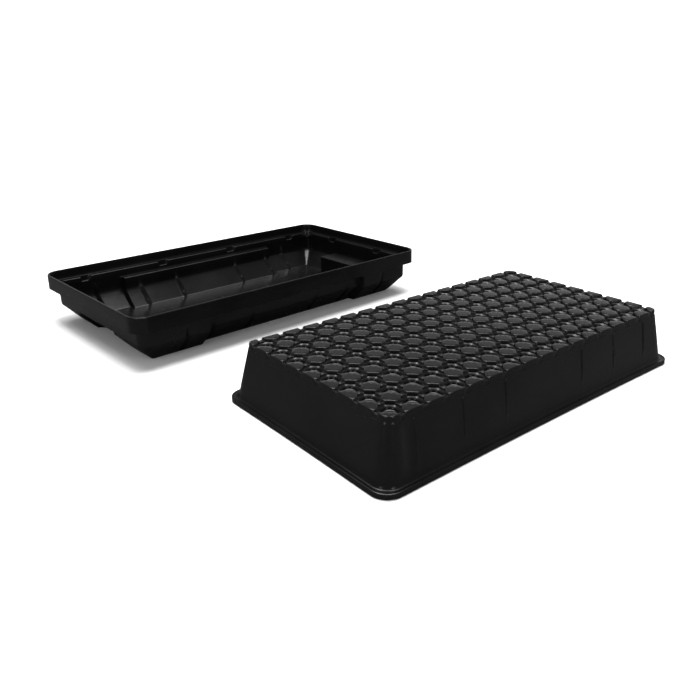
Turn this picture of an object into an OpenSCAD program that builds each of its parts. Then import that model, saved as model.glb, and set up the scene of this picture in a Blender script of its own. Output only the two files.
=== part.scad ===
// Propagation tray set: an open base tray and a deep dome tray lying upside down beside it.
// Millimetres, +Z up. The origin is on the ground, under the middle of the whole set.

/* [Base tray] */
// Length over the rim
base_length = 547; // [440:1:680]
// Width over the rim
base_width = 302; // [240:1:380]
// Height from the ground to the top of the rim
base_height = 76.5; // [62:0.5:100]
// Corner radius of the rim
base_corner = 22; // [16:1:30]
// Height of the outer skirt
skirt_height = 22.5; // [18:0.5:28]
// Width across the folded top of the rim
rim_fold = 3.2; // [2.5:0.1:6]
// Depth of the seat below the top of the rim
seat_depth = 15; // [10:0.5:18]
// Distance from the outside of the rim to the body wall
body_inset = 12.5; // [10:0.5:16]
// Height at which the body wall turns into the lower slope
slope_height = 28; // [20:1:32]
// Horizontal run of the lower slope
slope_run = 26; // [14:1:32]
// Length of each foot, outside the waist
foot_length = 109; // [80:1:140]
// Step inward of the wall along the waist
waist_step = 11; // [5:1:16]
// Drop from the seat to the shelf over the waist
waist_drop = 12.5; // [10:0.5:15]

/* [End arches] */
// Width of the arch under each short end
arch_width = 112; // [70:1:140]
// Depth of the arch, inward from the body wall
arch_depth = 36; // [34:1:44]
// Height of the arch above the ground
arch_height = 31; // [26:1:36]

/* [Seat pockets] */
// Length of each small pocket in the seat
pocket_length = 18; // [10:1:26]
// Drop of each small pocket below the seat
pocket_drop = 7; // [3:0.5:9]
// Distance from a short end to the middle of the nearest pocket of a long side
pocket_margin = 61; // [44:1:80]
// Distance from a long side to the middle of the nearest pocket of a short end
end_pocket_margin = 90; // [60:1:104]

/* [Dome tray] */
// Clear distance from the flange to the inside of the rim, when the dome tray sits in it
rim_clearance = 2; // [0.5:0.1:4]
// Height from the ground to the deck
dome_height = 76; // [60:1:100]
// Width of the flange outside the wall
flange_width = 7.5; // [6:0.5:12]
// Height of the rolled lip
lip_height = 6.5; // [4:0.5:10]
// Outward slope of the wall, from the deck to the flange
wall_spread = 12.5; // [6:0.5:16]
// Corner radius of the deck
deck_corner = 11; // [6:1:16]

/* [Deck] */
// Distance between neighbouring cups
cup_pitch = 30.5; // [25:0.5:37]
// Least width of the plain border outside the outer row of pads
least_border = 3; // [2:0.5:6]
// Half diagonal of a diamond pad
pad_half = 11.3; // [9:0.1:12]
// Distance from a cup's middle to its straight side facing the next cup
cup_reach = 12.2; // [10:0.1:12.4]
// Depth of the shallow channels between cups
channel_depth = 2.5; // [1.5:0.1:4]
// Depth of the cup's step
step_depth = 5; // [4.2:0.1:6]
// Depth of the cup's floor
cup_depth = 9; // [8.5:0.5:14]
// Radius of the cup's floor
cup_radius = 8.6; // [6:0.1:9]

/* [Sheet] */
// Thickness of the plastic sheet
sheet = 1.6; // [1:0.1:2.2]

/* [Layout] */
// Angle by which the dome tray is turned against the base tray
dome_turn = -3.8; // [-10:0.1:10]
// Distance between the middles of the two trays, along their length
set_shift = 28; // [-60:1:60]
// Clear distance between the two trays, across their length
set_gap = 135; // [60:1:240]

/* [Hidden] */
$fn = 48;

// How far a cutting shape runs past the face that it cuts
past = 1;

// Heights in the base tray
seat_top = base_height - seat_depth;
seat_foot = seat_top - sheet;
skirt_foot = base_height - skirt_height;

// Outline of the basin under the seat
body_length = base_length - 2 * body_inset;
body_width = base_width - 2 * body_inset;
body_corner = base_corner - body_inset / 2;
waist_width = body_width - 2 * waist_step;
waist_top = seat_top - waist_drop;
pocket_width = (body_inset - rim_fold) / 2;
pocket_floor = seat_top - pocket_drop;
pocket_pitch = (base_length - 2 * pocket_margin) / 3;
end_pocket_pitch = base_width - 2 * end_pocket_margin;

// Outlines of the dome tray, worked inward from the rim that its flange fits in
flange_length = base_length - 2 * (rim_fold + rim_clearance);
flange_breadth = base_width - 2 * (rim_fold + rim_clearance);
wall_length = flange_length - 2 * flange_width;
wall_width = flange_breadth - 2 * flange_width;
deck_length = wall_length - 2 * wall_spread;
deck_width = wall_width - 2 * wall_spread;
wall_corner = deck_corner + wall_spread / 2;
flange_corner = wall_corner + flange_width / 2;

// Whole number of cups that fit each way, and the border that they leave
cups_long = floor((deck_length - 2 * least_border) / cup_pitch);
cups_wide = floor((deck_width - 2 * least_border) / cup_pitch);
border_x = (deck_length - cups_long * cup_pitch) / 2;
border_y = (deck_width - cups_wide * cup_pitch) / 2;
deck_foot = dome_height - step_depth - sheet;
cup_foot = dome_height - cup_depth - sheet;

// Half extents of the turned dome tray, from its rounded outline
turn = abs(dome_turn);
flat_x = flange_length / 2 - flange_corner;
flat_y = flange_breadth / 2 - flange_corner;
dome_reach_x = flat_x * cos(turn) + flat_y * sin(turn) + flange_corner;
dome_reach_y = flat_x * sin(turn) + flat_y * cos(turn) + flange_corner;

// Middles of the two trays, with the whole set centred on the origin
low_x = min(-base_length / 2, set_shift - dome_reach_x);
high_x = max(base_length / 2, set_shift + dome_reach_x);
base_x = -(low_x + high_x) / 2;
dome_x = base_x + set_shift;
set_width = base_width + set_gap + 2 * dome_reach_y;
base_y = (set_width - base_width) / 2;
dome_y = dome_reach_y - set_width / 2;

// Rounded rectangle about the origin
module round_rect(length, width, radius) {
    square([length - 2 * radius, width], center = true);
    square([length, width - 2 * radius], center = true);
    for (sx = [-1, 1], sy = [-1, 1])
        translate([sx * (length / 2 - radius), sy * (width / 2 - radius)])
            circle(r = radius);
}

// The same rounded rectangle, set in on every side
module inset_rect(length, width, radius, inset) {
    round_rect(length - 2 * inset, width - 2 * inset, max(radius - inset, 2));
}

// Band between a rounded rectangle and the same one set in by the given amount
module band(length, width, radius, start, across) {
    difference() {
        inset_rect(length, width, radius, start);
        inset_rect(length, width, radius, start + across);
    }
}

// Outline of the basin below the waist shelf: two wide feet and a narrow middle
module waisted_rect(inset) {
    inset_rect(body_length, waist_width, body_corner, inset);
    for (side = [-1, 1])
        translate([side * (body_length - foot_length) / 2, 0])
            inset_rect(foot_length, body_width, body_corner, inset);
}

// Tapered block between an outline at the slope's top and the same outline set in at its foot
module tapered(length, width, inset, foot_z) {
    hull() {
        translate([0, 0, slope_height - 0.01])
            linear_extrude(0.01, $fn = 32)
                inset_rect(length, width, body_corner, inset);
        translate([0, 0, foot_z])
            linear_extrude(0.01, $fn = 32)
                inset_rect(length, width, body_corner, inset + slope_run);
    }
}

// Solid space inside the lower slopes, set in by the thickness of the wall or not at all
module slope_space(inset, foot_z) {
    tapered(body_length, waist_width, inset, foot_z);
    for (side = [-1, 1])
        translate([side * (body_length - foot_length) / 2, 0, 0])
            tapered(foot_length, body_width, inset, foot_z);
}

// Space under the two end arches, grown by the given margin
module arch_space(margin) {
    for (side = [-1, 1])
        translate([side * (body_length - arch_depth + past - margin) / 2, 0, (arch_height + margin - past) / 2])
            cube([arch_depth + past + margin, arch_width + 2 * margin, arch_height + margin + past],
                 center = true);
}

// Places of the seat pockets on the inner face of the wall: x, y and turn about Z
pocket_spots = concat(
    [for (side = [-1, 1], k = [-1.5:1:1.5]) [k * pocket_pitch, side * (body_width / 2 - sheet), 0]],
    [for (side = [-1, 1], k = [-0.5, 0.5]) [side * (body_length / 2 - sheet), k * end_pocket_pitch, 90]]);

// Upright block at every seat pocket, between two heights, grown sideways by the given amount
module pocket_blocks(grow, foot_z, top_z) {
    for (spot = pocket_spots)
        translate([spot[0], spot[1], (foot_z + top_z) / 2])
            rotate([0, 0, spot[2]])
                cube([pocket_length + 2 * grow, 2 * (pocket_width + sheet + grow), top_z - foot_z],
                     center = true);
}

module place_base() {
    translate([base_x, base_y, 0])
        children();
}

module place_dome() {
    translate([dome_x, dome_y, 0])
        rotate([0, 0, dome_turn])
            children();
}

// Folded rim: outer skirt, narrow top and inner wall down to the seat
module base_rim() {
    color([0.07, 0.07, 0.075])
        place_base() {
            translate([0, 0, skirt_foot])
                linear_extrude(skirt_height)
                    band(base_length, base_width, base_corner, 0, sheet / 2);
            translate([0, 0, base_height - sheet])
                linear_extrude(sheet)
                    band(base_length, base_width, base_corner, 0, rim_fold);
            translate([0, 0, seat_foot])
                linear_extrude(base_height - seat_foot)
                    band(base_length, base_width, base_corner, rim_fold - sheet / 2, sheet / 2);
        }
}

// Level seat around the inside of the rim, with small pockets dropped below it
module base_seat() {
    color([0.08, 0.08, 0.085])
        place_base() {
            difference() {
                translate([0, 0, seat_foot])
                    linear_extrude(sheet)
                        band(base_length, base_width, base_corner, rim_fold, body_inset - rim_fold);
                pocket_blocks(0, seat_foot - past, seat_top + past);
            }
            difference() {
                pocket_blocks(sheet, pocket_floor - sheet, seat_foot);
                pocket_blocks(0, pocket_floor, seat_top);
                translate([0, 0, pocket_floor - sheet - past])
                    linear_extrude(seat_top)
                        inset_rect(body_length, body_width, body_corner, 0);
            }
        }
}

// Upright walls of the basin: plain under the seat, waisted below the shelf
module base_walls() {
    color([0.09, 0.09, 0.095])
        place_base() {
            difference() {
                translate([0, 0, waist_top])
                    linear_extrude(seat_top - waist_top)
                        band(body_length, body_width, body_corner, 0, sheet);
                pocket_blocks(0, pocket_floor, seat_top + past);
            }
            translate([0, 0, waist_top - sheet])
                linear_extrude(sheet)
                    difference() {
                        inset_rect(body_length, body_width, body_corner, 0);
                        waisted_rect(sheet);
                    }
            difference() {
                translate([0, 0, slope_height])
                    linear_extrude(waist_top - sheet - slope_height)
                        difference() {
                            waisted_rect(0);
                            waisted_rect(sheet);
                        }
                arch_space(sheet);
            }
        }
}

// Sloping lower panels between the walls and the floor
module base_slopes() {
    color([0.1, 0.1, 0.105])
        place_base()
            difference() {
                slope_space(0, 0);
                slope_space(sheet, 0);
                arch_space(sheet);
            }
}

// Flat floor that the tray stands on
module base_floor() {
    color([0.08, 0.08, 0.085])
        place_base()
            difference() {
                linear_extrude(sheet)
                    waisted_rect(slope_run + sheet);
                arch_space(sheet);
            }
}

// Arched recess under each short end, higher than the slope, where fingers lift the tray
module base_arches() {
    color([0.08, 0.08, 0.085])
        place_base()
            intersection() {
                difference() {
                    arch_space(sheet);
                    arch_space(0);
                }
                union() {
                    slope_space(0, 0);
                    translate([0, 0, slope_height - 0.01])
                        linear_extrude(waist_top - slope_height)
                            waisted_rect(0);
                }
            }
}

// Flat land around the foot of the wall, and the rolled lip on its edge
module dome_flange() {
    color([0.1, 0.1, 0.105])
        place_dome() {
            translate([0, 0, lip_height - sheet])
                linear_extrude(sheet)
                    band(flange_length, flange_breadth, flange_corner, 0, flange_width + sheet);
            linear_extrude(lip_height)
                band(flange_length, flange_breadth, flange_corner, 0, sheet);
        }
}

// Solid frustum inside the drafted walls, set in by the given amount
module wall_space(inset, foot_z, top_z) {
    hull() {
        translate([0, 0, foot_z])
            linear_extrude(0.01, $fn = 32)
                inset_rect(wall_length, wall_width, wall_corner, inset);
        translate([0, 0, top_z - 0.01])
            linear_extrude(0.01, $fn = 32)
                inset_rect(deck_length, deck_width, deck_corner, inset);
    }
}

// Four drafted side walls with their rounded corners
module dome_walls() {
    color([0.12, 0.12, 0.125])
        place_dome()
            difference() {
                wall_space(0, lip_height, deck_foot);
                wall_space(sheet, lip_height - past, deck_foot + past);
            }
}

// Copies at the middle of every cup
module at_cups() {
    for (i = [0:cups_long - 1], j = [0:cups_wide - 1])
        translate([(i - (cups_long - 1) / 2) * cup_pitch, (j - (cups_wide - 1) / 2) * cup_pitch])
            children();
}

// Copies at the middle of every full pad, between four cups
module at_pads() {
    for (i = [1:cups_long - 1], j = [1:cups_wide - 1])
        translate([(i - cups_long / 2) * cup_pitch, (j - cups_wide / 2) * cup_pitch])
            children();
}

// Half width of a cup across its slanted sides, left between two diamond pads
cup_half = cup_pitch / sqrt(2) - pad_half / sqrt(2);

// Eight-sided mouth of a cup
module cup_mouth() {
    intersection() {
        square(2 * cup_reach, center = true);
        rotate(45)
            square(2 * cup_half, center = true);
    }
}

// Width of the gap between the facing tips of two pads
tip_gap = cup_pitch - 2 * pad_half;

// Length of a channel from inside one cup's mouth to inside the next
channel_length = cup_pitch - 2 * cup_reach + past;

// Shallow channels, one on each line between neighbouring cups, running out at the edges
module channels() {
    for (i = [0:cups_long - 1], j = [0:cups_wide])
        translate([(i - (cups_long - 1) / 2) * cup_pitch, (j - cups_wide / 2) * cup_pitch])
            square([tip_gap, j % cups_wide == 0 ? channel_length + 2 * border_y : channel_length],
                   center = true);
    for (i = [0:cups_long], j = [0:cups_wide - 1])
        translate([(i - cups_long / 2) * cup_pitch, (j - (cups_wide - 1) / 2) * cup_pitch])
            square([i % cups_long == 0 ? channel_length + 2 * border_x : channel_length, tip_gap],
                   center = true);
}

// Diamond hollow on the underside of every full pad
module pad_hollows() {
    at_pads()
        rotate(45)
            square((pad_half * sqrt(2) - 2 * sheet), center = true);
}

// Deck: diamond pads joined by channels, with a stepped round cup between every four
module dome_deck() {
    color([0.15, 0.15, 0.155])
        place_dome() {
            translate([0, 0, dome_height - channel_depth])
                linear_extrude(channel_depth)
                    difference() {
                        round_rect(deck_length, deck_width, deck_corner);
                        at_cups() cup_mouth();
                        channels();
                    }
            translate([0, 0, dome_height - step_depth])
                linear_extrude(step_depth - channel_depth)
                    difference() {
                        round_rect(deck_length, deck_width, deck_corner);
                        at_cups() cup_mouth();
                        pad_hollows();
                    }
            translate([0, 0, deck_foot])
                linear_extrude(sheet)
                    difference() {
                        round_rect(deck_length, deck_width, deck_corner);
                        at_cups() circle(r = cup_radius);
                        pad_hollows();
                    }
            translate([0, 0, dome_height - cup_depth])
                linear_extrude(cup_depth - step_depth - sheet)
                    difference() {
                        at_cups() circle(r = cup_radius + sheet);
                        at_cups() circle(r = cup_radius);
                    }
            translate([0, 0, cup_foot])
                linear_extrude(sheet)
                    at_cups() circle(r = cup_radius + sheet);
        }
}

base_rim();
base_seat();
base_walls();
base_slopes();
base_floor();
base_arches();
dome_flange();
dome_walls();
dome_deck();
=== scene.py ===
"""Looks of a nursery propagation set: an open base tray and, upside down beside it, a deep dome tray.

Both trays are vacuum-formed sheets of satin black plastic. Each shell is a profile carried round a rounded
rectangle, and the deck of the dome tray is one square cell with a stepped cup, repeated over a lattice.
Sizes in the functions below are in millimetres; they become metres when a mesh is written.
"""

import math

import bpy
import numpy as np
from mathutils import Matrix, Vector


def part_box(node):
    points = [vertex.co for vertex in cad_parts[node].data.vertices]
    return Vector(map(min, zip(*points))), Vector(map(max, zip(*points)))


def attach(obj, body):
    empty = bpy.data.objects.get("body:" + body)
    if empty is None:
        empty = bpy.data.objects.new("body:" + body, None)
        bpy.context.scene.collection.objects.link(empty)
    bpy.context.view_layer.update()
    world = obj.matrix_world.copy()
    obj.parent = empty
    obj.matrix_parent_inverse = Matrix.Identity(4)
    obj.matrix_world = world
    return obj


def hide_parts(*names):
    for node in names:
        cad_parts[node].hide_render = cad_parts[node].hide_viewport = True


bl_info = {
    "name": "Propagation Tray Set",
    "version": (1, 0, 0),
    "blender": (4, 5, 0),
    "location": "View3D > Sidebar > Trays",
    "description": "Makes the moulded shells, the plastic and the studio of a two-tray propagation set",
    "category": "Object",
}

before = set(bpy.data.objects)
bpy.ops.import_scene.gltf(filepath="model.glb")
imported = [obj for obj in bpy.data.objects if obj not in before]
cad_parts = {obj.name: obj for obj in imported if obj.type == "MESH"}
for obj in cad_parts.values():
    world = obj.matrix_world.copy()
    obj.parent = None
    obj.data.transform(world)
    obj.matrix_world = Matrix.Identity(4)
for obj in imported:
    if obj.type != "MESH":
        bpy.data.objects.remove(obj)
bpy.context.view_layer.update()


def node_middle(*nodes):
    """Middle, in millimetres, of the ground rectangle that holds the named CAD nodes."""
    low = np.min([np.array(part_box(n)[0]) for n in nodes], axis=0)
    high = np.max([np.array(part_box(n)[1]) for n in nodes], axis=0)
    return (low + high)[:2] * 500.0


BASE_MIDDLE = node_middle("base_rim")
DOME_MIDDLE = node_middle("dome_flange")
DOME_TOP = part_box("dome_deck")[1].z * 1000.0
FLOOR_TOP = 1.6        # top face of the base tray's floor
CREASE = 38.0          # degrees; a sharper edge than this is drawn as a crease
LUSTRE = 0.16          # specular level of the plastic


# ---------------------------------------------------------------- numbers and outlines


def ease(value, start, end):
    """Smooth step: 0 before start, 1 after end, and 3t^2 - 2t^3 between them."""
    t = np.clip((np.asarray(value, float) - start) / (end - start), 0.0, 1.0)
    return t * t * (3.0 - 2.0 * t)


def stations(limit, step, features):
    """Sorted places along a side: even steps up to the limit, and the close steps that each feature needs.

    features is a list of (middle, offsets). Places nearer than 0.35 to the last one kept are left out.
    """
    close = np.concatenate([[limit, -limit]] + [middle + np.asarray(offsets, float) for middle,
        offsets in features])
    even = np.arange(-limit, limit + 0.01, step)
    apart = np.abs(even[:, None] - close[None, :]).min(axis=1)
    places = np.sort(np.concatenate([close, even[apart > 0.55 * step]]))
    places = places[np.abs(places) <= limit + 1e-6]
    keep = np.concatenate([[True], np.diff(places) > 0.35])
    return places[keep]


class Columns:
    """Columns of a shell that runs round a rounded rectangle, counter-clockwise from its right side.

    A column on a side stays at its own place along that side. A column on a corner is a direction from the
    corner's middle. At a level with half lengths a, b and corner radius r its point is
        x = sx (a - r) + along_x + nx r,   y = sy (b - r) + along_y + ny r.
    """

    def __init__(self, right, top, left, bottom, corner_steps):
        zero = lambda a: np.zeros(len(a))
        one = lambda a: np.ones(len(a))
        turn = (np.arange(corner_steps + 1) / corner_steps) * math.pi / 2
        parts = []
        sides = [(right, 0), (top[::-1], 1), (left[::-1], 2), (bottom, 3)]
        for places, k in sides:
            if k in (0, 2):
                s = 1.0 if k == 0 else -1.0
                parts.append((s * one(places), zero(places), s * one(places), zero(places), places,
                    zero(places)))
            else:
                s = 1.0 if k == 1 else -1.0
                parts.append((zero(places), places, zero(places), s * one(places), zero(places),
                    s * one(places)))
            a = turn + k * math.pi / 2
            cx, cy = ((1, 1), (-1, 1), (-1, -1), (1, -1))[k]
            parts.append((cx * one(a), zero(a), np.cos(a), cy * one(a), zero(a), np.sin(a)))
        joined = [np.concatenate([p[i] for p in parts]) for i in range(6)]
        self.sx, self.along_x, self.nx, self.sy, self.along_y, self.ny = joined
        self.side = np.concatenate([np.full(len(p[0]), i) for i, p in enumerate(parts)])
        self.angle = np.arctan2(self.ny, self.nx)

    def on(self, name):
        """Which columns are on the named side: right, top, left or bottom."""
        return self.side == {"right": 0, "top": 2, "left": 4, "bottom": 6}[name]

    def corner(self, k):
        """Which columns are on corner k, counted from the back right one."""
        return self.side == 2 * k + 1

    def place(self, half_x, half_y, radius, along_x=None, along_y=None):
        """x and y of every column at every level.

        The arguments may be one value per level or a whole table.
        """
        ax = self.along_x if along_x is None else along_x
        ay = self.along_y if along_y is None else along_y
        x = self.sx * (half_x - radius) + ax + self.nx * radius
        y = self.sy * (half_y - radius) + ay + self.ny * radius
        return x, y


def sheet_quads(rows, columns, closed=True):
    """Corner numbers of the quads of a table of points, rows by columns.

    closed joins the last column to the first.
    """
    across = np.arange(columns if closed else columns - 1)
    r, c = np.meshgrid(np.arange(rows - 1), across, indexing="ij")
    nxt = (c + 1) % columns
    return np.stack([r * columns + c, r * columns + nxt, (r + 1) * columns + nxt, (r + 1) * columns + c],
        -1).reshape(-1, 4)


def welded(points, quads):
    """Points nearer than a micrometre made one.

    The quads that this closes up are made triangles or left out.
    """
    key = np.round(points * 1000.0).astype(np.int64)
    _, first, back = np.unique(key, axis=0, return_index=True, return_inverse=True)
    faces = back.reshape(-1)[quads]
    same = faces == np.roll(faces, -1, axis=1)
    whole = faces[same.sum(1) == 0]
    pinched = same.sum(1) == 1
    rows, which = faces[pinched], same[pinched].argmax(1)
    order = (which[:, None] + np.arange(1, 4)[None, :]) % 4
    triangles = np.take_along_axis(rows, order, axis=1)
    return points[first], whole.tolist() + triangles.tolist()


def turned(points, middle, degrees):
    """Points turned about the vertical by an angle, then moved to the given middle."""
    a = math.radians(degrees)
    c, s = math.cos(a), math.sin(a)
    x = c * points[:, 0] - s * points[:, 1] + middle[0]
    y = s * points[:, 0] + c * points[:, 1] + middle[1]
    return np.stack([x, y, points[:, 2]], -1)


def make_piece(name, points, faces, sharp, material):
    """A mesh object at the origin, in metres, with smooth faces and hard edges above an angle."""
    old = bpy.data.objects.get(name)
    if old is not None:
        bpy.data.objects.remove(old)
    mesh = bpy.data.meshes.new(name)
    mesh.from_pydata((points * 0.001).tolist(), [], faces)
    mesh.validate()
    mesh.update()
    mesh.polygons.foreach_set("use_smooth", np.ones(len(mesh.polygons), bool))
    mesh.set_sharp_from_angle(angle=math.radians(sharp))
    mesh.materials.append(material)
    piece = bpy.data.objects.new(name, mesh)
    bpy.context.scene.collection.objects.link(piece)
    return piece


# ---------------------------------------------------------------- base tray

# Ribs of the long back wall, by place along it; the front wall has the same ones turned half round
BASE_RIBS = np.array([-197.0, -123.0, -54.0, 71.0, 141.0, 190.0])

# Profile of the base tray, from the middle of its underside out, up, over the rim and back in to the floor.
# Each row: inset and height on a plain stretch, at the waist, and at the end arches.
BASE_PROFILE = np.array([
    (41.5, 0, 52.5, 0, 51.2, 0), (39.9, 0, 50.9, 0, 49.6, 0), (38.3, 0.3, 49.3, 0.3, 48.7, 0.4),
        (32.5, 6.4, 43.5, 6.4, 48.5, 6),
    (26.5, 12.9, 37.5, 12.9, 48.5, 18), (20.5, 19.4, 31.5, 19.4, 48.3, 29.8),
    (15.4, 24.9, 26.4, 24.9, 47.2, 31), (13.1, 27.4, 24.1, 27.4, 13.6, 31),
    (12.5, 29.2, 23.5, 29.2, 12.6, 31.7), (12.5, 36, 23.5, 36, 12.5, 37), (12.5, 46, 23.5, 46.4, 12.5, 46),
    (12.5, 46.5, 23.1, 47.2, 12.5, 46.5), (12.5, 47, 22.4, 47.4, 12.5, 47),
    (12.5, 47.5, 13.4, 47.5, 12.5, 47.5), (12.5, 48.2, 12.6, 48.3, 12.5, 48.2),
    (12.5, 57.5, 12.5, 57.5, 12.5, 57.5), (12.3, 59.5, 12.3, 59.5, 12.3, 59.5),
    (11.6, 59.9, 11.6, 59.9, 11.6, 59.9), (7.9, 59.9, 7.9, 59.9, 7.9, 59.9),
    (7.1, 59.9, 7.1, 59.9, 7.1, 59.9), (2.9, 59.9, 2.9, 59.9, 2.9, 59.9),
    (2.4, 60.5, 2.4, 60.5, 2.4, 60.5), (2.4, 74.6, 2.4, 74.6, 2.4, 74.6),
    (0.9, 74.8, 0.9, 74.8, 0.9, 74.8), (0.9, 55, 0.9, 55, 0.9, 55), (0.7, 54.2, 0.7, 54.2, 0.7, 54.2),
    (0.35, 54, 0.35, 54, 0.35, 54), (0, 54.3, 0, 54.3, 0, 54.3), (0.1, 55.4, 0.1, 55.4, 0.1, 55.4),
    (0.3, 65, 0.3, 65, 0.3, 65), (0.45, 74.9, 0.45, 74.9, 0.45, 74.9), (0.6, 75.9, 0.6, 75.9, 0.6, 75.9),
    (1.05, 76.4, 1.05, 76.4, 1.05, 76.4), (1.8, 76.5, 1.8, 76.5, 1.8, 76.5),
    (2.6, 76.3, 2.6, 76.3, 2.6, 76.3), (3.1, 75.6, 3.1, 75.6, 3.1, 75.6), (3.3, 74, 3.3, 74, 3.3, 74),
    (3.6, 68, 3.6, 68, 3.6, 68), (3.9, 62.9, 3.9, 62.9, 3.9, 62.9), (4.2, 61.9, 4.2, 61.9, 4.2, 61.9),
    (5, 61.5, 5, 61.5, 5, 61.5), (7.5, 61.5, 7.5, 61.5, 7.5, 61.5), (8.3, 61.5, 8.3, 61.5, 8.3, 61.5),
    (12.6, 61.5, 12.6, 61.5, 12.6, 61.5), (13.4, 61.35, 13.4, 61.35, 13.4, 61.35),
    (13.9, 60.9, 13.9, 60.9, 13.9, 60.9), (14.1, 60.2, 14.1, 60.2, 14.1, 60.2),
    (14.1, 52.6, 14.1, 52.6, 14.1, 52.6), (14.1, 50.4, 14.15, 50.2, 14.1, 50.4),
    (14.1, 49.9, 14.5, 49.3, 14.1, 49.9), (14.1, 49.5, 15.3, 49, 14.1, 49.5),
    (14.1, 49.1, 23.6, 48.9, 14.1, 49.1), (14.1, 48.7, 24.5, 48.7, 14.1, 48.7),
    (14.1, 48.3, 25, 48.2, 14.1, 48.3), (14.1, 47.5, 25.15, 47.2, 14.1, 47.5),
    (14.1, 36, 25.15, 36, 14.1, 38), (14.15, 29.8, 25.2, 29.8, 14.1, 34.2),
    (14.6, 28.1, 25.6, 28.1, 14.5, 33.1), (16.4, 25.8, 27.4, 25.8, 15.6, 32.7),
    (23, 18.6, 34, 18.6, 48.6, 32.6), (31, 10, 42, 10, 49.9, 31.6), (38, 2.9, 49, 2.9, 50.1, 3),
    (39, 1.9, 50, 1.9, 50.5, 2), (40.6, 1.6, 51.6, 1.6, 51.8, 1.6), (42.2, 1.6, 53.2, 1.6, 53.4, 1.6),
])


def pocket_window(u):
    """How far down a seat pocket is, from 0 to 1: a quick end at -9 and a long S-shaped ramp from 4 to 11."""
    return ease(u, -10.2, -8.4) * (1.0 - ease(u, 3.5, 11.5))


def base_columns(values):
    """Columns of the base tray, close together at pockets, ribs, the ends of the waist and the arches."""
    bend = [-12, -10.4, -9.8, -9.2, -8.4, -6, -2, 2, 4, 5.5, 7, 8.5, 10, 11.5, 13]
    rib = [-5.5, -4.2, -1.3, 0, 1.3, 4.2, 5.5]
    edge = [-3.2, -1.8, -0.9, 0, 0.9, 1.8, 3.2]
    pitch = values.pocket_pitch
    back = stations(251.0, 13.0, [(k * pitch, bend) for k in (-1.5, -0.5, 0.5, 1.5)]
                    + [(x, rib) for x in BASE_RIBS] + [(-values.waist_half, edge), (values.waist_half, edge)])
    end = stations(128.0, 13.0, [(61.0, bend), (-61.0, bend), (-values.arch_half, edge),
        (values.arch_half, edge)])
    return Columns(end, back, -end[::-1], -back[::-1], 10)


def drawn_in(places, start, limit, core):
    """Places along a side; beyond the start they move evenly, and the limit lands on the corner's core."""
    beyond = np.maximum(np.abs(places) - start, 0.0)
    return np.sign(places) * (np.minimum(np.abs(places), start) + beyond * (core - start) / (limit - start))


def base_shell(values):
    """The whole base tray as one closed sheet.

    The profile runs round the rim's outline, inset by its first number. Between the feet it takes the waist's
    numbers and at the ends the arch's, mixed by a smooth step along the side. A seat pocket lowers the inner
    half of the seat by depth times its window. A rib pushes wall and slope inward by its height times a tent
    across it, fading upward to a point and out at the floor. The corner's pouring facet lowers the seat by a
    tent across the corner. Flat rows at both ends of the profile keep the floor's shading level.
    """
    columns = base_columns(values)
    plain_d, plain_z, waist_d, waist_z, arch_d, arch_z = (BASE_PROFILE[:, i][:, None] for i in range(6))
    x, y = columns.along_x, columns.along_y
    long_side = columns.on("top") | columns.on("bottom")
    short_side = columns.on("right") | columns.on("left")
    waist = long_side * (1.0 - ease(np.abs(x), values.waist_half - 1.6, values.waist_half + 1.6))
    arch = short_side * (1.0 - ease(np.abs(y), values.arch_half - 1.6, values.arch_half + 1.6))
    inset = plain_d + waist * (waist_d - plain_d) + arch * (arch_d - plain_d)
    height = plain_z + waist * (waist_z - plain_z) + arch * (arch_z - plain_z)

    facing = np.where(columns.on("bottom"), -1.0, 1.0)
    sideways = np.where(columns.on("left"), -1.0, 1.0)
    pockets = np.zeros(len(x))
    for k in (-1.5, -0.5, 0.5, 1.5):
        pockets += long_side * pocket_window(facing * x - k * values.pocket_pitch)
    for k in (-61.0, 61.0):
        pockets += short_side * pocket_window(sideways * -y - k)
    pour = columns.corner(0) * np.clip(1.0 - np.abs(np.abs(columns.angle) - math.pi / 4) / 0.62, 0.0, 1.0)
    lowered = ((plain_d > 7.8) & (plain_d < 14.15) & (plain_z > 57.0) & (plain_z < 62.0)).astype(float)
    height = height - lowered * (values.pocket_drop * pockets + 0.9 * values.pocket_drop * pour)
    inset = inset + lowered * (plain_d > 12.5) * (plain_z > 60.0) * 3.0 * pour

    rib = np.zeros_like(height)
    for place in BASE_RIBS:
        tent = long_side * np.clip(1.0 - np.abs(facing * x - place) / 4.0, 0.0, 1.0)
        top = 48.0 if abs(place) > values.waist_half else 38.0
        rib += tent * (1.0 - ease(height, top - 16.0, top)) * ease(height, 2.0, 5.0)
    rib *= values.rib_height
    slanted = 1.0 - ease(height, 27.0, 30.0)
    inset = inset + rib * (1.0 - 0.23 * slanted)
    height = height + rib * 0.63 * slanted

    half_x, half_y = values.base_length / 2 - inset, values.base_width / 2 - inset
    radius = np.where(plain_d <= 14.2, 22.0 - 0.5 * np.minimum(plain_d, 12.5), 15.75 - (plain_d - 12.5) * 0.6)
    radius = np.maximum(np.minimum(radius, 22.0), 3.0) * np.ones_like(inset)
    px, py = columns.place(half_x, half_y, radius, drawn_in(x, 205.0, 251.0, half_x - radius),
                           drawn_in(y, 84.0, 128.0, half_y - radius))

    spine_x = np.clip(px[:1], -180.0, 180.0)
    middle = [np.concatenate([spine_x, px, spine_x]), np.concatenate([py[:1] * 0, py, py[:1] * 0])]
    floor = np.full_like(px[:1], FLOOR_TOP)
    points = np.stack([middle[0], middle[1], np.concatenate([floor * 0, height, floor])], -1)
    rows, count = points.shape[:2]
    points, faces = welded(points.reshape(-1, 3), sheet_quads(rows, count))
    return turned(points, BASE_MIDDLE, 0.0), faces


# ---------------------------------------------------------------- dome tray

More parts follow.
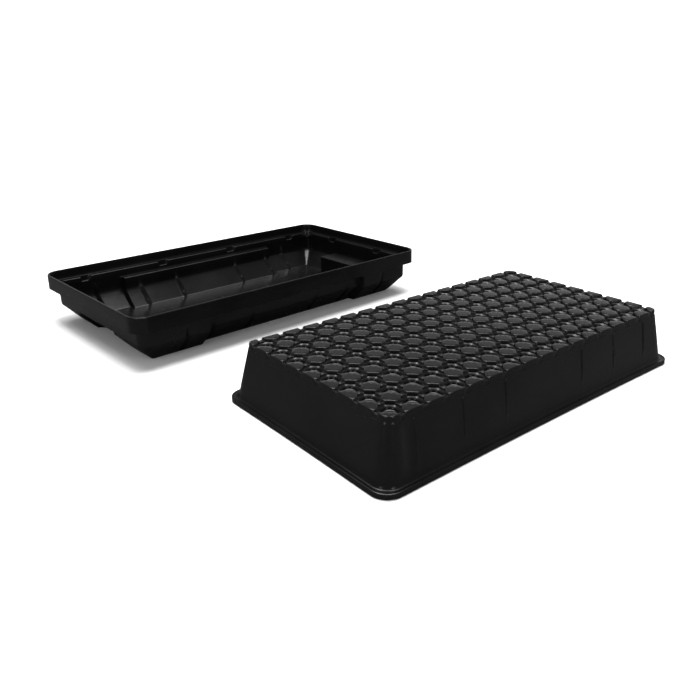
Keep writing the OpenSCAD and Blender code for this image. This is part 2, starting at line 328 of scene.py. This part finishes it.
CELL = 30.5          # distance between neighbouring cups
HALF = CELL / 2
CUPS = (16, 8)
CHANNEL = 2.5        # depth of the channels between pads

# Places along a cell's side, from its middle out: the channel's middle, its foot, the pad's edge and the pad
SIDE = np.array([0.0, 1.5, 2.95, 3.95, 4.8, 9.6, HALF])

# Ribs of the dome tray's long front wall, by place along it, and the lattice places that carry them
DOME_RIBS = np.array([-216.0, -146.0, -78.0, 66.0, 136.0, 208.0])
RIB_CARRIERS = np.array([-228.75, -137.25, -76.25, 76.25, 137.25, 198.25])


def octagon(inset):
    """Seven points of one eighth of a cup's mouth, from the straight side's middle to the slanted one's.

    The straight side is at 12.2 from the cup's middle and the slanted one 11.8; both move in by the inset.
    """
    straight = np.array([0.0, 1.5, 2.8]) * (1.0 - inset * 0.1)
    a = np.stack([np.full(3, 12.2 - inset), straight], -1)
    b = np.array([(12.1, 4.2), (11.3, 5.35), (9.9, 6.75), (8.34, 8.34)]) - inset / math.sqrt(2)
    return np.concatenate([a, b])


def circle_part(radius):
    """Seven points of one eighth of a circle."""
    a = np.arange(7) * math.pi / 24
    return np.stack([radius * np.cos(a), radius * np.sin(a)], -1)


def cell_rings(values):
    """Rings of one eighth of a cell, from the cup's floor to the cell's side: x, y and height from the deck.

    A cup is a nearly flat round floor, a short steep step, a sloping ring, a steep eight-sided wall with
    a small fillet, and then the pad. On the straight sides the wall stops at the channel instead. Each
    channel has a low rise at its middle: rise times exp(-(distance / 2.2)^2).
    """
    low = np.array([1.0, 1.0, 1.0, 0.16, 0.0, 0.0, 0.0])
    deep = values.cup_depth
    rings, heights = [], []

    def add(points, z):
        rings.append(points)
        heights.append(np.broadcast_to(z, 7).astype(float))

    add(circle_part(4.3), -deep + 0.15)
    add(circle_part(7.0), -deep + 0.35)
    add(circle_part(7.9), -deep + 0.8)
    add(circle_part(8.25), -deep + 1.6)
    add(circle_part(8.45), -6.5)
    add(circle_part(8.75), -6.05)
    add(0.6 * circle_part(9.9) + 0.4 * octagon(1.1), -4.9)
    add(octagon(0.75), -4.3)
    add(octagon(0.2), -0.8 - low * (CHANNEL - 0.1))
    add(octagon(-0.1), -0.25 - low * CHANNEL)
    near = np.array([(12.75, 0.0), (12.75, 1.5), (12.75, 2.9), (12.65, 4.35), (11.75, 5.6), (10.25, 7.1),
        (8.7, 8.7)])
    add(near, -low * CHANNEL)
    side = np.stack([np.full(7, HALF), SIDE], -1)
    mid = np.array([(14.0, 0.0), (14.0, 1.5), (13.95, 2.9), (13.95, 4.1), (13.6, 5.0), (12.7, 8.3),
        (12.0, 12.0)])
    rise = lambda p: values.channel_rise * np.exp(-((p[:, 0] - HALF) ** 2 + p[:, 1] ** 2) / 2.2 ** 2)
    add(mid, -low * CHANNEL + low * rise(mid))
    add(side, -low * CHANNEL + low * rise(side))
    return np.array(rings), np.array(heights)


def whole_turn(eighth, heights):
    """Eight mirrored and turned copies of the eighth part, joined without doubled columns: 48 a ring."""
    swapped = eighth[:, ::-1][:, 1:-1][..., ::-1]
    quarter = np.concatenate([eighth, swapped], axis=1)
    z = np.concatenate([heights, heights[:, ::-1][:, 1:-1]], axis=1)
    parts, levels = [], []
    for k in range(4):
        a = k * math.pi / 2
        c, s = round(math.cos(a)), round(math.sin(a))
        parts.append(np.stack([c * quarter[..., 0] - s * quarter[..., 1],
            s * quarter[..., 0] + c * quarter[..., 1]], -1))
        levels.append(z)
    return np.concatenate(parts, axis=1), np.concatenate(levels, axis=1)


def under_rings(values):
    """Rings of one eighth of a cell on the deck's underside, from the cup's bottom to the cell's side."""
    side = np.stack([np.full(7, HALF), SIDE], -1)
    rings = np.array([circle_part(0.001), circle_part(10.0), circle_part(10.9), octagon(-1.0), side])
    low = np.array([1.0, 1.0, 1.0, 0.16, 0.0, 0.0, 0.0])
    deep = values.cup_depth + 1.6
    heights = np.array([np.full(7, -deep - 0.6), np.full(7, -deep - 0.6), np.full(7, -deep + 3.6),
                        -1.9 - low * CHANNEL, -1.6 - low * CHANNEL])
    return rings, heights


def tiled(rings, heights, flip):
    """The cell's rings repeated at every cup, with the innermost ring closed onto its middle."""
    ring, z = whole_turn(rings, heights)
    pole = np.concatenate([np.zeros((1,) + ring.shape[1:]), ring])
    z = np.concatenate([np.full((1, z.shape[1]), z[0].max() + (0.0 if flip else 0.25)), z])
    cell = np.concatenate([pole, z[..., None]], axis=-1)
    rows, count = cell.shape[:2]
    i, j = np.meshgrid(np.arange(CUPS[0]), np.arange(CUPS[1]), indexing="ij")
    middles = np.stack([(i - (CUPS[0] - 1) / 2) * CELL, (j - (CUPS[1] - 1) / 2) * CELL, 0 * i],
        -1).reshape(-1, 1, 3)
    points = (cell.reshape(1, -1, 3) + middles).reshape(-1, 3)
    one = sheet_quads(rows, count)
    one = one if flip else one[:, ::-1]
    quads = (one[None] + (np.arange(len(middles)) * rows * count)[:, None, None]).reshape(-1, 4)
    return points, quads


def dome_deck(values):
    """Deck of the dome tray: top and underside of the cup lattice, both ending on the lattice's outline."""
    top, top_quads = tiled(*cell_rings(values), flip=False)
    under, under_quads = tiled(*under_rings(values), flip=True)
    points = np.concatenate([top, under])
    quads = np.concatenate([top_quads, under_quads + len(top)])
    points[:, 2] += values.dome_height
    points, faces = welded(points, quads)
    return turned(points, DOME_MIDDLE, values.dome_turn), faces


def lattice_places(count):
    """Every column place along a side of the lattice, from one corner to the other."""
    one = np.concatenate([-SIDE[:0:-1], SIDE[:-1]])
    middles = (np.arange(count) - (count - 1) / 2) * CELL
    return np.concatenate([(middles[:, None] + one[None, :]).reshape(-1), [count * HALF]])


# Profile of the dome tray's shell, from the deck's underside out, down inside the wall, round the lip, up
# outside and in to the deck. Each row: half length, half width, corner radius, height, how much a channel
# lowers it, and which places its columns take: 0 the lattice's, 1 the deck edge's, 2 the wall's.
DOME_PROFILE = np.array([
    (244.0, 122.0, 0.0, 74.4, 1.0, 0), (246.2, 123.7, 9.0, 74.4, 1.0, 1),
    (246.7, 124.2, 9.4, 73.4, 0.8, 1), (246.7, 124.2, 9.4, 69.0, 0.0, 1),
    (247.6, 125.1, 10.4, 65.0, 0.0, 2), (252.5, 130.0, 13.0, 40.0, 0.0, 2),
    (257.6, 135.1, 15.6, 14.0, 0.0, 2), (259.1, 136.6, 16.4, 6.2, 0.0, 2),
    (260.0, 137.5, 16.9, 4.9, 0.0, 2), (266.0, 143.5, 20.0, 4.9, 0.0, 2),
    (266.7, 144.2, 20.5, 4.3, 0.0, 2), (266.8, 144.3, 20.6, 0.4, 0.0, 2),
    (267.2, 144.7, 20.8, 0.0, 0.0, 2), (267.9, 145.4, 20.95, 0.0, 0.0, 2),
    (268.3, 145.8, 21.0, 0.4, 0.0, 2), (268.3, 145.8, 21.0, 5.2, 0.0, 2),
    (268.1, 145.6, 20.9, 6.0, 0.0, 2), (267.5, 145.0, 20.6, 6.45, 0.0, 2),
    (266.8, 144.3, 20.3, 6.5, 0.0, 2), (265.9, 143.4, 20.0, 6.1, 0.0, 2),
    (264.2, 141.7, 19.2, 5.8, 0.0, 2), (262.6, 140.1, 18.4, 5.9, 0.0, 2),
    (261.6, 139.1, 17.9, 6.5, 0.0, 2), (260.9, 138.4, 17.5, 7.8, 0.0, 2),
    (260.4, 137.9, 17.2, 9.8, 0.0, 2), (258.8, 136.3, 16.4, 18.0, 0.0, 2),
    (257.6, 135.1, 15.7, 24.0, 0.0, 2), (256.2, 133.7, 15.0, 31.0, 0.0, 2),
    (254.4, 131.9, 14.0, 40.0, 0.0, 2), (252.4, 129.9, 13.2, 50.0, 0.0, 2),
    (250.4, 127.9, 12.3, 60.0, 0.0, 2), (249.4, 126.9, 11.9, 65.0, 0.0, 2),
    (249.1, 126.6, 11.8, 66.6, 0.0, 2), (248.95, 126.45, 11.7, 67.6, 0.0, 2),
    (248.6, 126.1, 11.5, 68.7, 0.0, 1.6), (248.15, 125.65, 11.1, 69.5, 0.25, 1),
    (247.9, 125.4, 10.9, 70.6, 0.7, 1), (247.7, 125.2, 10.7, 74.4, 1.35, 1),
    (247.4, 124.9, 10.4, 75.45, 1.4, 1), (246.9, 124.4, 9.9, 75.9, 1.3, 1),
    (246.1, 123.6, 9.2, 76.0, 1.1, 1), (244.0, 122.0, 0.0, 76.0, 1.0, 0),
])


LAST_INNER_ROW = 21    # row of the dome profile where the lip ends and the outside begins


def channel_share(places, count):
    """How far into a channel each place along the lattice's side is: 1 in the channel and 0 on the pads."""
    middles = (np.arange(count) - (count - 1) / 2) * CELL
    off = np.abs(places[:, None] - middles[None, :]).min(axis=1)
    return np.interp(off, SIDE, [1.0, 1.0, 1.0, 0.16, 0.0, 0.0, 0.0])


def dome_shell(values):
    """Walls, flange and deck border of the dome tray as one sheet, ending on the lattice's outline twice.

    The profile runs round the lattice's outline and opens out to the flange's. Where a channel meets the edge
    its rows are lowered by the channel's depth. The long walls carry upright ribs, a tent 1.3 high across and
    faded at both ends, and the front one a shallow upright recess. The sides bow inward by a parabola.
    """
    along_x, along_y = lattice_places(CUPS[0]), lattice_places(CUPS[1])
    columns = Columns(along_y, along_x, along_y, along_x, 9)
    top, bottom = columns.on("top"), columns.on("bottom")
    right, left = columns.on("right"), columns.on("left")
    x0, y0 = columns.along_x, columns.along_y
    half_x, half_y, radius, height, drop, kind = (DOME_PROFILE[:, i][:, None] for i in range(6))

    edge_x = np.interp(x0, [-244.0, -233.4, 233.4, 244.0], [-236.6, -233.3, 233.3, 236.6])
    edge_y = np.interp(y0, [-122.0, -111.4, 111.4, 122.0], [-114.3, -111.3, 111.3, 114.3])
    near = np.concatenate([[c - 4.8, c, c + 4.8] for c in RIB_CARRIERS[1:]])
    onto = np.concatenate([[r - 4.8, r, r + 4.8] for r in DOME_RIBS[1:]])
    knots = np.concatenate([[-244.0, -238.35, -233.55, -228.75, -223.95], near, [244.0]])
    moved = np.concatenate([[-231.9, -231.1, -220.8, -216.0, -211.2], onto, [235.0]])
    front_x = np.interp(x0, knots, moved)
    wall_x = np.where(top, -np.interp(-x0, knots, moved), front_x)
    wall_x = np.where(top | bottom, wall_x, 0.0)
    to_edge, to_wall = np.clip(kind, 0.0, 1.0), np.clip(kind - 1.0, 0.0, 1.0)
    ax = (1 - to_edge) * x0 + to_edge * ((1 - to_wall) * edge_x * (top | bottom) + to_wall * wall_x)
    ay = (1 - to_edge) * y0 + to_edge * edge_y * (left | right)

    share = (top | bottom) * channel_share(x0, CUPS[0]) + (left | right) * channel_share(y0, CUPS[1])
    height = height - drop * share * CHANNEL

    facing = np.where(top, -1.0, 1.0)
    outside = (np.arange(len(DOME_PROFILE)) > LAST_INNER_ROW)[:, None]
    tall = ease(height, 18.0, 34.0) * (1.0 - ease(height, 66.4, 67.9))
    rib = np.zeros_like(ax)
    for place in DOME_RIBS:
        rib += np.clip(1.0 - np.abs(facing * ax - place) / 1.5, 0.0, 1.0) * (top | bottom)
    outward = outside * tall * values.rib_height * 0.4 * rib
    strip = bottom * (ease(ax, -231.95, -231.15) - ease(ax, -220.9, -219.0))
    outward = outward - outside * strip * 0.45 * ease(height, 11.0, 12.5) * (1.0 - ease(height, 63.0, 66.0))
    low_part = 1.0 - ease(height, 8.0, 60.0)
    bow = values.side_bow * low_part * (1.0 - np.abs(ax / 240.0) ** 2) * (top | bottom)
    bow = bow + values.side_bow * 0.5 * low_part * (1.0 - np.abs(ay / 118.0) ** 2) * (left | right)
    outward = outward - bow

    px, py = columns.place(half_x + outward, half_y + outward, radius * np.ones_like(ax), ax, ay)
    points = np.stack([px, py, height * np.ones_like(px)], -1)
    rows, count = points.shape[:2]
    points, faces = welded(points.reshape(-1, 3), sheet_quads(rows, count))
    return turned(points, DOME_MIDDLE, values.dome_turn), faces


# ---------------------------------------------------------------- plastic


class Wire:
    """A value in a node tree, so that shader maths is written as ordinary sums."""

    def __init__(self, tree, socket):
        self.tree, self.socket = tree, socket

    def maths(self, operation, *values):
        return self.tree.node("ShaderNodeMath", {"operation": operation}, dict(enumerate(values)))

    def __add__(self, other): return self.maths("ADD", self, other)
    def __radd__(self, other): return self.maths("ADD", other, self)
    def __sub__(self, other): return self.maths("SUBTRACT", self, other)
    def __rsub__(self, other): return self.maths("SUBTRACT", other, self)
    def __mul__(self, other): return self.maths("MULTIPLY", self, other)
    def __rmul__(self, other): return self.maths("MULTIPLY", other, self)


class Tree:
    """Node tree of one material or of the world.

    Its node method takes a type, settings to set first, and socket values or wires.
    """

    def __init__(self, name, world=None):
        self.material = world or bpy.data.materials.get(name) or bpy.data.materials.new(name)
        self.material.use_nodes = True
        self.nodes, self.links = self.material.node_tree.nodes, self.material.node_tree.links
        self.nodes.clear()

    def node(self, kind, settings, values, output=0):
        made = self.nodes.new(kind)
        for key, value in settings.items():
            setattr(made, key, value)
        for key, value in values.items():
            if isinstance(value, Wire):
                self.links.new(value.socket, made.inputs[key])
            else:
                made.inputs[key].default_value = value
        return Wire(self, made.outputs[output]) if made.outputs else None


def moulded_plastic(name, colour, roughness, lustre):
    """Satin black sheet plastic.

    Colour is the given one, a little lighter where a broad noise is high and in sparse fine scuffs. Roughness
    varies with the same noise and rises in the scuffs. Two bumps: a grain of about half a millimetre, and a
    slow wave of a few centimetres left by forming.
    """
    p = Tree(name)
    place = p.node("ShaderNodeTexCoord", {}, {}, "Object")
    broad = p.node("ShaderNodeTexNoise", {},
        {"Vector": place, "Scale": 14.0, "Detail": 3.0, "Roughness": 0.55})
    grain = p.node("ShaderNodeTexNoise", {},
        {"Vector": place, "Scale": 1500.0, "Detail": 2.0, "Roughness": 0.6})
    drawn = p.node("ShaderNodeMapping", {},
        {"Vector": place, "Scale": (1.0, 0.12, 0.5), "Rotation": (0.0, 0.3, 0.6)})
    marks = p.node("ShaderNodeTexNoise", {},
        {"Vector": drawn, "Scale": 420.0, "Detail": 4.0, "Roughness": 0.65})
    scuffs = p.node("ShaderNodeMapRange", {"clamp": True},
                    {"Value": marks, "From Min": 0.62, "From Max": 0.78, "To Min": 0.0, "To Max": 1.0})
    patches = p.node("ShaderNodeMapRange", {"clamp": True},
                     {"Value": broad, "From Min": 0.35, "From Max": 0.7, "To Min": 0.0, "To Max": 1.0})
    lighter = tuple(min(1.0, c * 1.3 + 0.001) for c in colour) + (1.0,)
    dusty = tuple(min(1.0, c * 1.6 + 0.004) for c in colour) + (1.0,)
    body = p.node("ShaderNodeMix", {"data_type": "RGBA"},
                  {0: patches * 0.8, 6: tuple(colour) + (1.0,), 7: lighter}, 2)
    worn = p.node("ShaderNodeMix", {"data_type": "RGBA"}, {0: scuffs * 0.5, 6: body, 7: dusty}, 2)
    rough = roughness + patches * 0.05 + scuffs * 0.09
    fine = p.node("ShaderNodeBump", {}, {"Height": grain, "Strength": 0.2, "Distance": 0.0001})
    wave = p.node("ShaderNodeBump", {}, {"Height": broad, "Strength": 0.3, "Distance": 0.001, "Normal": fine})
    shader = p.node("ShaderNodeBsdfPrincipled", {},
                    {"Base Color": worn, "Roughness": rough, "IOR": 1.5, "Specular IOR Level": lustre,
                        "Normal": wave})
    p.node("ShaderNodeOutputMaterial", {}, {"Surface": shader})
    return p.material


def plain_floor(name, colour, dim):
    """Matt pale studio floor with a faint, slow change of tone; mirrored in the plastic it is dimmer."""
    p = Tree(name)
    place = p.node("ShaderNodeTexCoord", {}, {}, "Object")
    cloud = p.node("ShaderNodeTexNoise", {}, {"Vector": place, "Scale": 1.2, "Detail": 1.0})
    tone = p.node("ShaderNodeMix", {"data_type": "RGBA"},
                  {0: cloud, 6: tuple(colour) + (1.0,), 7: tuple(0.985 * c for c in colour) + (1.0,)}, 2)
    shader = p.node("ShaderNodeBsdfPrincipled", {},
        {"Base Color": tone, "Roughness": 0.9, "Specular IOR Level": 0.0})
    shade = p.node("ShaderNodeBsdfDiffuse", {}, {"Color": (dim, dim, dim, 1.0)})
    mirrored = p.node("ShaderNodeLightPath", {}, {}, "Is Glossy Ray")
    mixed = p.node("ShaderNodeMixShader", {}, {0: mirrored, 1: shader, 2: shade})
    p.node("ShaderNodeOutputMaterial", {}, {"Surface": mixed})
    return p.material


# ---------------------------------------------------------------- settings and operators


class BaseTraySettings(bpy.types.PropertyGroup):
    base_length: bpy.props.FloatProperty(name="Length", description="Length over the rim, in millimetres",
        default=547.0)
    base_width: bpy.props.FloatProperty(name="Width", description="Width over the rim, in millimetres",
        default=302.0)
    waist_half: bpy.props.FloatProperty(name="Waist",
        description="Half length of the waist between the feet, in millimetres", default=152.0)
    arch_half: bpy.props.FloatProperty(name="Arch",
        description="Half width of the arch under each end, in millimetres", default=56.0)
    pocket_pitch: bpy.props.FloatProperty(name="Pocket pitch",
        description="Distance between seat pockets, in millimetres", default=141.67)
    pocket_drop: bpy.props.FloatProperty(name="Pocket drop",
        description="Depth of a seat pocket, in millimetres", default=7.0)
    rib_height: bpy.props.FloatProperty(name="Rib height",
        description="Height of a rib on the lower slopes, in millimetres", default=5.0)
    colour: bpy.props.FloatVectorProperty(name="Colour", description="Colour of the base tray's plastic",
        subtype="COLOR", size=3, default=(0.0028, 0.0028, 0.003), min=0.0, max=1.0)
    roughness: bpy.props.FloatProperty(name="Roughness", description="Roughness of the base tray's plastic",
        default=0.22, min=0.0, max=1.0)


class DomeTraySettings(bpy.types.PropertyGroup):
    dome_height: bpy.props.FloatProperty(name="Height", description="Height of the deck, in millimetres",
        default=DOME_TOP)
    dome_turn: bpy.props.FloatProperty(name="Turn", description="Turn against the base tray, in degrees",
        default=-3.8)
    cup_depth: bpy.props.FloatProperty(name="Cup depth",
        description="Depth of a cup's floor below the deck, in millimetres", default=9.0)
    channel_rise: bpy.props.FloatProperty(name="Channel rise",
        description="Height of the low rise in a channel, in millimetres", default=0.9)
    rib_height: bpy.props.FloatProperty(name="Rib height",
        description="Height scale of the upright ribs, in millimetres", default=3.2)
    side_bow: bpy.props.FloatProperty(name="Side bow",
        description="Inward bow of the flange's long sides, in millimetres", default=1.6)
    colour: bpy.props.FloatVectorProperty(name="Colour", description="Colour of the dome tray's plastic",
        subtype="COLOR", size=3, default=(0.0032, 0.0032, 0.0035), min=0.0, max=1.0)
    roughness: bpy.props.FloatProperty(name="Roughness", description="Roughness of the dome tray's plastic",
        default=0.2, min=0.0, max=1.0)


class StudioSettings(bpy.types.PropertyGroup):
    floor_colour: bpy.props.FloatVectorProperty(name="Floor", description="Colour of the floor",
        subtype="COLOR", size=3, default=(0.9, 0.9, 0.9), min=0.0, max=1.0)
    floor_mirrored: bpy.props.FloatProperty(name="Mirrored floor",
        description="Lightness of the floor as the plastic mirrors it", default=0.11, min=0.0, max=1.0)
    sky: bpy.props.FloatProperty(name="Surround",
        description="Strength of the dim surround in front and above", default=0.3, min=0.0)
    back_light: bpy.props.FloatProperty(name="Back",
        description="Strength of the surround low down behind the set", default=0.75, min=0.0)
    even_light: bpy.props.FloatProperty(name="Even light",
        description="Strength of the even light from above", default=3.2, min=0.0)
    top_light: bpy.props.FloatProperty(name="Top light", description="Power of the narrow light overhead",
        default=40.0, min=0.0, subtype="POWER")
    side_light: bpy.props.FloatProperty(name="Side lights",
        description="Power of each upright light beside the camera", default=5.0, min=0.0, subtype="POWER")
    lens: bpy.props.FloatProperty(name="Lens", description="Focal length of the camera", default=35.38,
        min=1.0, subtype="DISTANCE_CAMERA")


class TRAYS_OT_base_tray(bpy.types.Operator):
    """Make the base tray's shell"""
    bl_idname = "trays.base_tray"
    bl_label = "Base tray"

    def execute(self, context):
        values = context.scene.base_tray
        plastic = moulded_plastic("base_plastic_look", values.colour, values.roughness, LUSTRE)
        piece = make_piece("base_tray_shell", *base_shell(values), CREASE, plastic)
        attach(piece, "base_tray")
        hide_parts("base_rim", "base_seat", "base_walls", "base_slopes", "base_floor", "base_arches")
        return {"FINISHED"}


class TRAYS_OT_dome_tray(bpy.types.Operator):
    """Make the dome tray's walls, flange and deck of cups"""
    bl_idname = "trays.dome_tray"
    bl_label = "Dome tray"

    def execute(self, context):
        values = context.scene.dome_tray
        plastic = moulded_plastic("dome_plastic_look", values.colour, values.roughness, LUSTRE)
        shell = make_piece("dome_tray_shell", *dome_shell(values), CREASE, plastic)
        deck = make_piece("dome_tray_deck", *dome_deck(values), CREASE, plastic)
        for piece in (shell, deck):
            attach(piece, "dome_tray")
        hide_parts("dome_flange", "dome_walls")
        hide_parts("dome_deck")
        return {"FINISHED"}


def area_light(name, place, target, size, power):
    """A rectangular light at a place in metres, facing a target."""
    data = bpy.data.lights.new(name, "AREA")
    data.shape = "RECTANGLE"
    data.size, data.size_y = size
    data.energy = power
    lamp = bpy.data.objects.new(name, data)
    bpy.context.scene.collection.objects.link(lamp)
    lamp.location = place
    lamp.rotation_euler = (Vector(target) - Vector(place)).to_track_quat("-Z", "Y").to_euler()
    return lamp


def studio_surround(scene, values):
    """Surround that is bright low down behind the set and dimmer elsewhere; the camera sees it white.

    Strength is sky + (back - sky) times a smooth step of the direction's part away from the camera, times one
    minus a smooth step of its height.
    """
    scene.world = scene.world or bpy.data.worlds.new("studio")
    p = Tree(None, scene.world)
    direction = p.node("ShaderNodeTexCoord", {}, {}, "Generated")
    away = p.node("ShaderNodeVectorMath", {"operation": "DOT_PRODUCT"}, {0: direction, 1: (0.69, 0.72, 0.0)},
        "Value")
    up = p.node("ShaderNodeVectorMath", {"operation": "DOT_PRODUCT"}, {0: direction, 1: (0.0, 0.0, 1.0)},
        "Value")
    behind = p.node("ShaderNodeMapRange", {"interpolation_type": "SMOOTHSTEP"},
        {"Value": away, "From Min": 0.1, "From Max": 0.75})
    high = p.node("ShaderNodeMapRange", {"interpolation_type": "SMOOTHSTEP"},
        {"Value": up, "From Min": 0.12, "From Max": 0.5})
    strength = values.sky + behind * (1.0 - high) * (values.back_light - values.sky)
    seen = p.node("ShaderNodeLightPath", {}, {}, "Is Camera Ray")
    plain = p.node("ShaderNodeBackground", {},
        {"Color": (1.0, 1.0, 1.0, 1.0), "Strength": strength + seen * (1.05 - strength)})
    p.node("ShaderNodeOutputWorld", {}, {"Surface": plain})


class TRAYS_OT_studio(bpy.types.Operator):
    """Make the pale floor, the soft lights and the camera"""
    bl_idname = "trays.studio"
    bl_label = "Studio"

    def execute(self, context):
        values = context.scene.tray_studio
        mesh = bpy.data.meshes.new("studio_floor")
        mesh.from_pydata([(-9, -9, -0.0004), (9, -9, -0.0004), (9, 9, -0.0004), (-9, 9, -0.0004)], [],
            [(0, 1, 2, 3)])
        mesh.materials.append(plain_floor("studio_floor_look", values.floor_colour, values.floor_mirrored))
        floor = bpy.data.objects.new("studio_floor", mesh)
        context.scene.collection.objects.link(floor)
        area_light("overhead_softbox", (0.1, 0.15, 1.9), (0.0, 0.0, 0.0), (1.3, 0.5), values.top_light)
        area_light("left_strip", (-1.5, -0.45, 0.65), (0.0, 0.0, 0.05), (0.14, 0.9), values.side_light)
        area_light("right_strip", (-0.35, -1.5, 0.65), (0.0, 0.0, 0.05), (0.14, 0.9), values.side_light)
        even = bpy.data.lights.new("even_sky", "SUN")
        even.energy, even.angle = values.even_light, math.radians(55.0)
        sun = bpy.data.objects.new("even_sky", even)
        context.scene.collection.objects.link(sun)
        sun.rotation_euler = (math.radians(-12.0), math.radians(8.0), 0.0)
        studio_surround(context.scene, values)
        data = bpy.data.cameras.new("studio_camera")
        data.sensor_width, data.lens = 36.0, values.lens
        data.clip_start, data.clip_end = 0.01, 50.0
        camera = bpy.data.objects.new("studio_camera", data)
        context.scene.collection.objects.link(camera)
        camera.matrix_world = Matrix((
            (0.72589, 0.26087, -0.63641, -0.6581),
            (-0.68780, 0.27851, -0.67034, -0.7127),
            (0.00238, 0.92432, 0.38160, 0.3787),
            (0.0, 0.0, 0.0, 1.0)))
        context.scene.camera = camera
        context.scene.view_settings.view_transform = "Standard"
        context.scene.view_settings.look = "None"
        return {"FINISHED"}


class TRAYS_PT_panel(bpy.types.Panel):
    """Lists the makers of the set"""
    bl_idname = "TRAYS_PT_panel"
    bl_label = "Propagation tray set"
    bl_space_type = "VIEW_3D"
    bl_region_type = "UI"
    bl_category = "Trays"

    def draw(self, context):
        for operator in OPERATORS:
            self.layout.operator(operator.bl_idname)


OPERATORS = (TRAYS_OT_base_tray, TRAYS_OT_dome_tray, TRAYS_OT_studio)
CLASSES = (BaseTraySettings, DomeTraySettings, StudioSettings) + OPERATORS + (TRAYS_PT_panel,)


def register():
    for kind in CLASSES:
        bpy.utils.register_class(kind)
    bpy.types.Scene.base_tray = bpy.props.PointerProperty(type=BaseTraySettings)
    bpy.types.Scene.dome_tray = bpy.props.PointerProperty(type=DomeTraySettings)
    bpy.types.Scene.tray_studio = bpy.props.PointerProperty(type=StudioSettings)


def unregister():
    del bpy.types.Scene.tray_studio
    del bpy.types.Scene.dome_tray
    del bpy.types.Scene.base_tray
    for kind in reversed(CLASSES):
        bpy.utils.unregister_class(kind)


def main():
    register()
    bpy.ops.trays.base_tray()
    bpy.ops.trays.dome_tray()
    bpy.ops.trays.studio()


if __name__ == "__main__":
    main()
